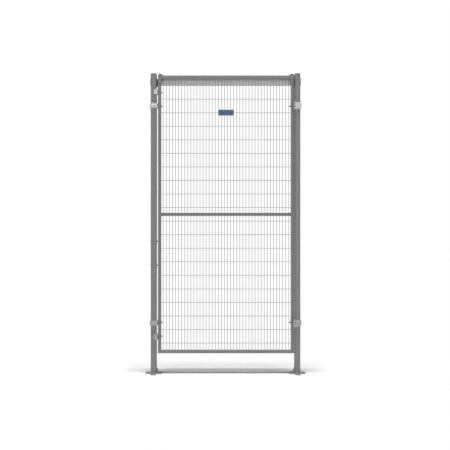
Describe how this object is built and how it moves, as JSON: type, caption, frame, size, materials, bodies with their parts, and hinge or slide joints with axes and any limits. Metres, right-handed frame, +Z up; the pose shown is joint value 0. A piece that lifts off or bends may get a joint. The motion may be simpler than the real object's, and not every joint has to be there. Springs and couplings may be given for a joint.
{
  "type": "wire mesh partition with door",
  "caption": "Free-standing portal of two steel posts and a header channel, with a welded wire mesh door leaf that swings on clamp-on hinges.",
  "frame": {"origin": "on the floor, midway between the two posts", "axes": "+Z up, +X towards the hinge post, +Y away from the side that the door opens to"},
  "size_m": [1.178, 0.12, 2.22],
  "materials": {
    "grey_paint": "satin powder coat",
    "painted_wire": "satin powder coat",
    "zinc_plate": "zinc plated",
    "header_galvanised": "galvanised",
    "fastener_steel": "dark zinc",
    "cap_plastic": "matte",
    "white_nylon": "matte",
    "black_rubber": "matte",
    "grey_plastic": "matte",
    "blue_plastic": "semi gloss"
  },
  "bodies": {
    "portal": {"left_post": "grey_paint", "right_post": "grey_paint", "left_post_cap": "cap_plastic", "right_post_cap": "cap_plastic", "left_base_plate": "grey_paint", "right_base_plate": "grey_paint", "left_foot_gusset": "grey_paint", "right_foot_gusset": "grey_paint", "header_channel": "header_galvanised", "left_header_bracket": "grey_paint", "right_header_bracket": "grey_paint", "header_bolts": "fastener_steel", "header_nuts": "fastener_steel", "bracket_screws": "fastener_steel", "upper_hinge_clamp": "zinc_plate", "lower_hinge_clamp": "zinc_plate", "upper_hinge_pin": "fastener_steel", "lower_hinge_pin": "fastener_steel", "hinge_washers": "white_nylon", "hinge_clamp_bolts": "zinc_plate", "hinge_clamp_nuts": "fastener_steel", "lock_post_bolts": "fastener_steel", "lock_post_nuts": "fastener_steel"},
    "door": {"latch_stile": "grey_paint", "hinge_stile": "grey_paint", "top_rail": "grey_paint", "bottom_rail": "grey_paint", "middle_rail": "grey_paint", "upright_wires": "painted_wire", "cross_wires": "painted_wire", "upper_hinge_leaf": "zinc_plate", "lower_hinge_leaf": "zinc_plate", "hinge_leaf_bolts": "fastener_steel", "hinge_leaf_nuts": "fastener_steel", "upper_catch": "zinc_plate", "lower_catch": "zinc_plate", "catch_bolts": "fastener_steel", "catch_nuts": "fastener_steel", "upper_stop": "zinc_plate", "lower_stop": "zinc_plate", "upper_stop_buffer": "black_rubber", "lower_stop_buffer": "black_rubber", "stop_bolts": "fastener_steel", "stop_nuts": "fastener_steel", "sign_holder": "grey_plastic", "sign_face": "blue_plastic", "sign_back_plate": "grey_plastic", "sign_screws": "fastener_steel"}
  },
  "joints": [
    {"name": "door_swing", "type": "hinge", "parent": "portal", "child": "door", "pos_m": [0.5025, -0.039, 1.175], "axis": [0, 0, 1], "range_deg": [0, 180]}
  ]
}
